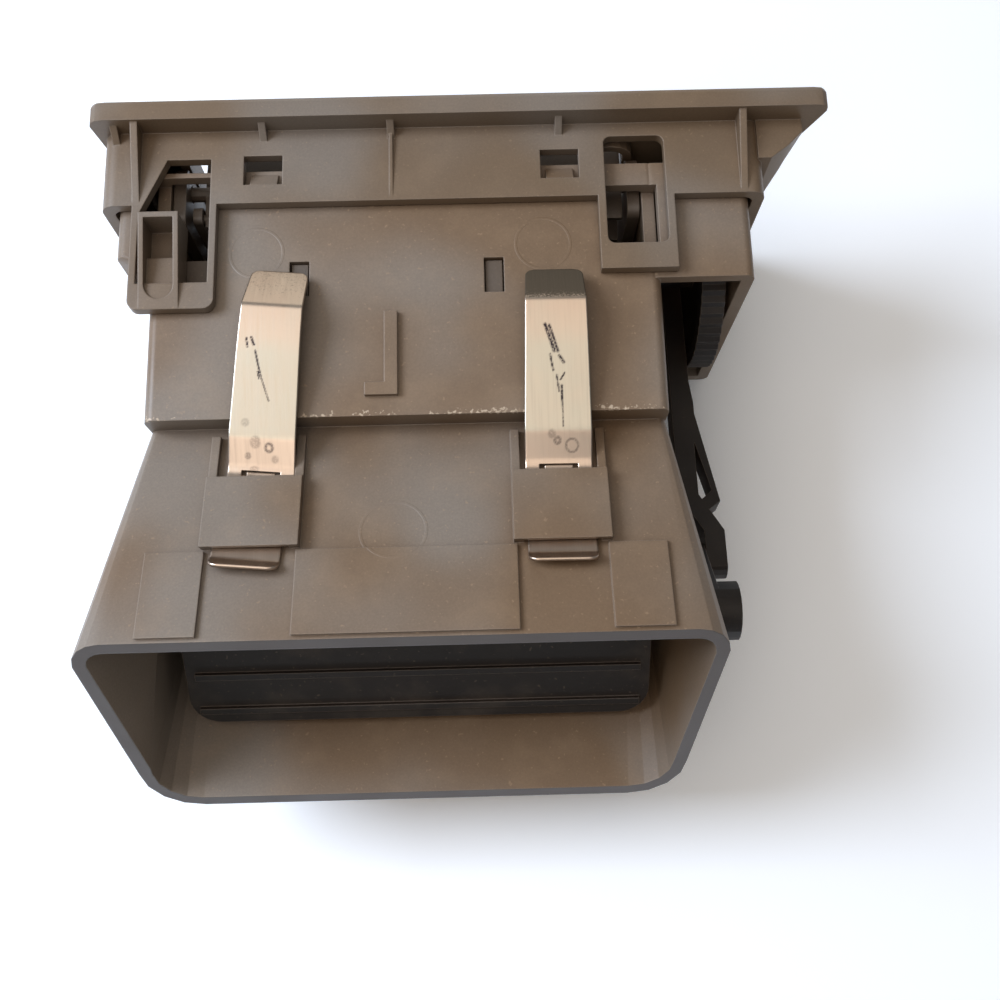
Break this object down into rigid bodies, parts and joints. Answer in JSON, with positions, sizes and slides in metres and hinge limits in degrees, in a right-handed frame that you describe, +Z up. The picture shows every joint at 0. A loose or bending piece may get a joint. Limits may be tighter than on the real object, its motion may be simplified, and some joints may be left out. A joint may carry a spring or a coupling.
{
  "type": "dashboard air vent",
  "caption": "Dashboard air outlet with crossed sets of steering vanes, a sliding knob, and a thumbwheel whose side linkage turns the shut-off flap in its flared inlet duct.",
  "frame": {"origin": "middle of the bezel's width and of the whole depth, at the level of the bezel's lower edge", "axes": "+X along the bezel's width towards the shoulder's side, +Y from the grille towards the inlet, +Z up"},
  "size_m": [0.1434, 0.1334, 0.072],
  "materials": {
    "housing": "fine satin grain, warm grey",
    "bezel": "fine satin grain, warm grey",
    "vanes": "satin, dark warm grey",
    "linkage": "smooth, dark brown",
    "flap": "smooth, near black, dusty",
    "spring": "bare spring steel strip, pale straw tint",
    "foam": "soft matt foam"
  },
  "bodies": {
    "frame": {"vent_housing": "housing", "bezel_frame": "bezel", "spring_clip_left": "spring", "spring_clip_right": "spring", "side_plate_left": "vanes", "side_plate_right": "vanes", "vane_strip_top": "vanes", "vane_strip_bottom": "vanes"},
    "wheel": {"thumbwheel": "linkage"},
    "shutoff": {"shutoff_flap": "flap", "flap_seal_rear": "foam", "flap_seal_front": "foam", "flap_lever": "linkage"},
    "rod": {"control_rod": "linkage"},
    "tilter_1": {"tilting_vane_1": "vanes"},
    "tilter_2": {"tilting_vane_2": "vanes"},
    "tilter_3": {"tilting_vane_3": "vanes"},
    "tilter_4": {"tilting_vane_4": "vanes"},
    "tilter_5": {"tilting_vane_5": "vanes"},
    "tilter_tie": {"tilting_vane_tie": "vanes"},
    "turner_1": {"upright_vane_1": "vanes"},
    "turner_2": {"upright_vane_2": "vanes"},
    "turner_3": {"upright_vane_3": "vanes"},
    "turner_4": {"upright_vane_4": "vanes"},
    "turner_5": {"upright_vane_5": "vanes"},
    "turner_6": {"upright_vane_6": "vanes"},
    "turner_7": {"upright_vane_7": "vanes"},
    "turner_tie": {"upright_vane_tie": "vanes"},
    "knob": {"sliding_knob": "linkage"}
  },
  "joints": [
    {"name": "flap_turn", "type": "hinge", "parent": "frame", "child": "shutoff", "pos_m": [0.011, 0.0328, 0.0437], "axis": [1, 0, 0], "range_deg": [0, 55]},
    {"name": "wheel_turn", "type": "hinge", "parent": "frame", "child": "wheel", "pos_m": [-0.0504, -0.0445, 0.036], "axis": [1, 0, 0], "range_deg": [0, 55]},
    {"name": "rod_turn", "type": "hinge", "parent": "wheel", "child": "rod", "pos_m": [-0.0459, -0.05649, 0.0254], "axis": [1, 0, 0], "range_deg": [-55, 0]},
    {"name": "tilter_1_turn", "type": "hinge", "parent": "frame", "child": "tilter_1", "pos_m": [0.011, -0.0537, 0.0168], "axis": [1, 0, 0], "range_deg": [-30, 30]},
    {"name": "tilter_2_turn", "type": "hinge", "parent": "frame", "child": "tilter_2", "pos_m": [0.011, -0.0537, 0.0264], "axis": [1, 0, 0], "range_deg": [-30, 30]},
    {"name": "tilter_3_turn", "type": "hinge", "parent": "frame", "child": "tilter_3", "pos_m": [0.011, -0.0537, 0.036], "axis": [1, 0, 0], "range_deg": [-30, 30]},
    {"name": "tilter_4_turn", "type": "hinge", "parent": "frame", "child": "tilter_4", "pos_m": [0.011, -0.0537, 0.0456], "axis": [1, 0, 0], "range_deg": [-30, 30]},
    {"name": "tilter_5_turn", "type": "hinge", "parent": "frame", "child": "tilter_5", "pos_m": [0.011, -0.0537, 0.0552], "axis": [1, 0, 0], "range_deg": [-30, 30]},
    {"name": "tilter_tie_turn", "type": "hinge", "parent": "tilter_3", "child": "tilter_tie", "pos_m": [0.011, -0.0481, 0.036], "axis": [1, 0, 0], "range_deg": [-30, 30]},
    {"name": "turner_1_turn", "type": "hinge", "parent": "frame", "child": "turner_1", "pos_m": [-0.0268, -0.0297, 0.036], "axis": [0, 0, 1], "range_deg": [-30, 30]},
    {"name": "turner_2_turn", "type": "hinge", "parent": "frame", "child": "turner_2", "pos_m": [-0.0142, -0.0297, 0.036], "axis": [0, 0, 1], "range_deg": [-30, 30]},
    {"name": "turner_3_turn", "type": "hinge", "parent": "frame", "child": "turner_3", "pos_m": [-0.0016, -0.0297, 0.036], "axis": [0, 0, 1], "range_deg": [-30, 30]},
    {"name": "turner_4_turn", "type": "hinge", "parent": "frame", "child": "turner_4", "pos_m": [0.011, -0.0297, 0.036], "axis": [0, 0, 1], "range_deg": [-30, 30]},
    {"name": "turner_5_turn", "type": "hinge", "parent": "frame", "child": "turner_5", "pos_m": [0.0236, -0.0297, 0.036], "axis": [0, 0, 1], "range_deg": [-30, 30]},
    {"name": "turner_6_turn", "type": "hinge", "parent": "frame", "child": "turner_6", "pos_m": [0.0362, -0.0297, 0.036], "axis": [0, 0, 1], "range_deg": [-30, 30]},
    {"name": "turner_7_turn", "type": "hinge", "parent": "frame", "child": "turner_7", "pos_m": [0.0488, -0.0297, 0.036], "axis": [0, 0, 1], "range_deg": [-30, 30]},
    {"name": "turner_tie_turn", "type": "hinge", "parent": "turner_4", "child": "turner_tie", "pos_m": [0.011, -0.0217, 0.0137], "axis": [0, 0, 1], "range_deg": [-30, 30]},
    {"name": "knob_slide", "type": "slide", "parent": "tilter_3", "child": "knob", "axis": [1, 0, 0], "range_m": [-0.0069, 0.0069]}
  ],
  "couplings": [
    {"joint": "wheel_turn", "follows": "flap_turn", "ratio": 1},
    {"joint": "rod_turn", "follows": "flap_turn", "ratio": -1},
    {"joint": "tilter_1_turn", "follows": "tilter_3_turn", "ratio": 1},
    {"joint": "tilter_2_turn", "follows": "tilter_3_turn", "ratio": 1},
    {"joint": "tilter_4_turn", "follows": "tilter_3_turn", "ratio": 1},
    {"joint": "tilter_5_turn", "follows": "tilter_3_turn", "ratio": 1},
    {"joint": "tilter_tie_turn", "follows": "tilter_3_turn", "ratio": -1},
    {"joint": "turner_1_turn", "follows": "turner_4_turn", "ratio": 1},
    {"joint": "turner_2_turn", "follows": "turner_4_turn", "ratio": 1},
    {"joint": "turner_3_turn", "follows": "turner_4_turn", "ratio": 1},
    {"joint": "turner_5_turn", "follows": "turner_4_turn", "ratio": 1},
    {"joint": "turner_6_turn", "follows": "turner_4_turn", "ratio": 1},
    {"joint": "turner_7_turn", "follows": "turner_4_turn", "ratio": 1},
    {"joint": "turner_tie_turn", "follows": "turner_4_turn", "ratio": -1},
    {"joint": "knob_slide", "follows": "turner_4_turn", "m_per_rad": 0.0131}
  ]
}
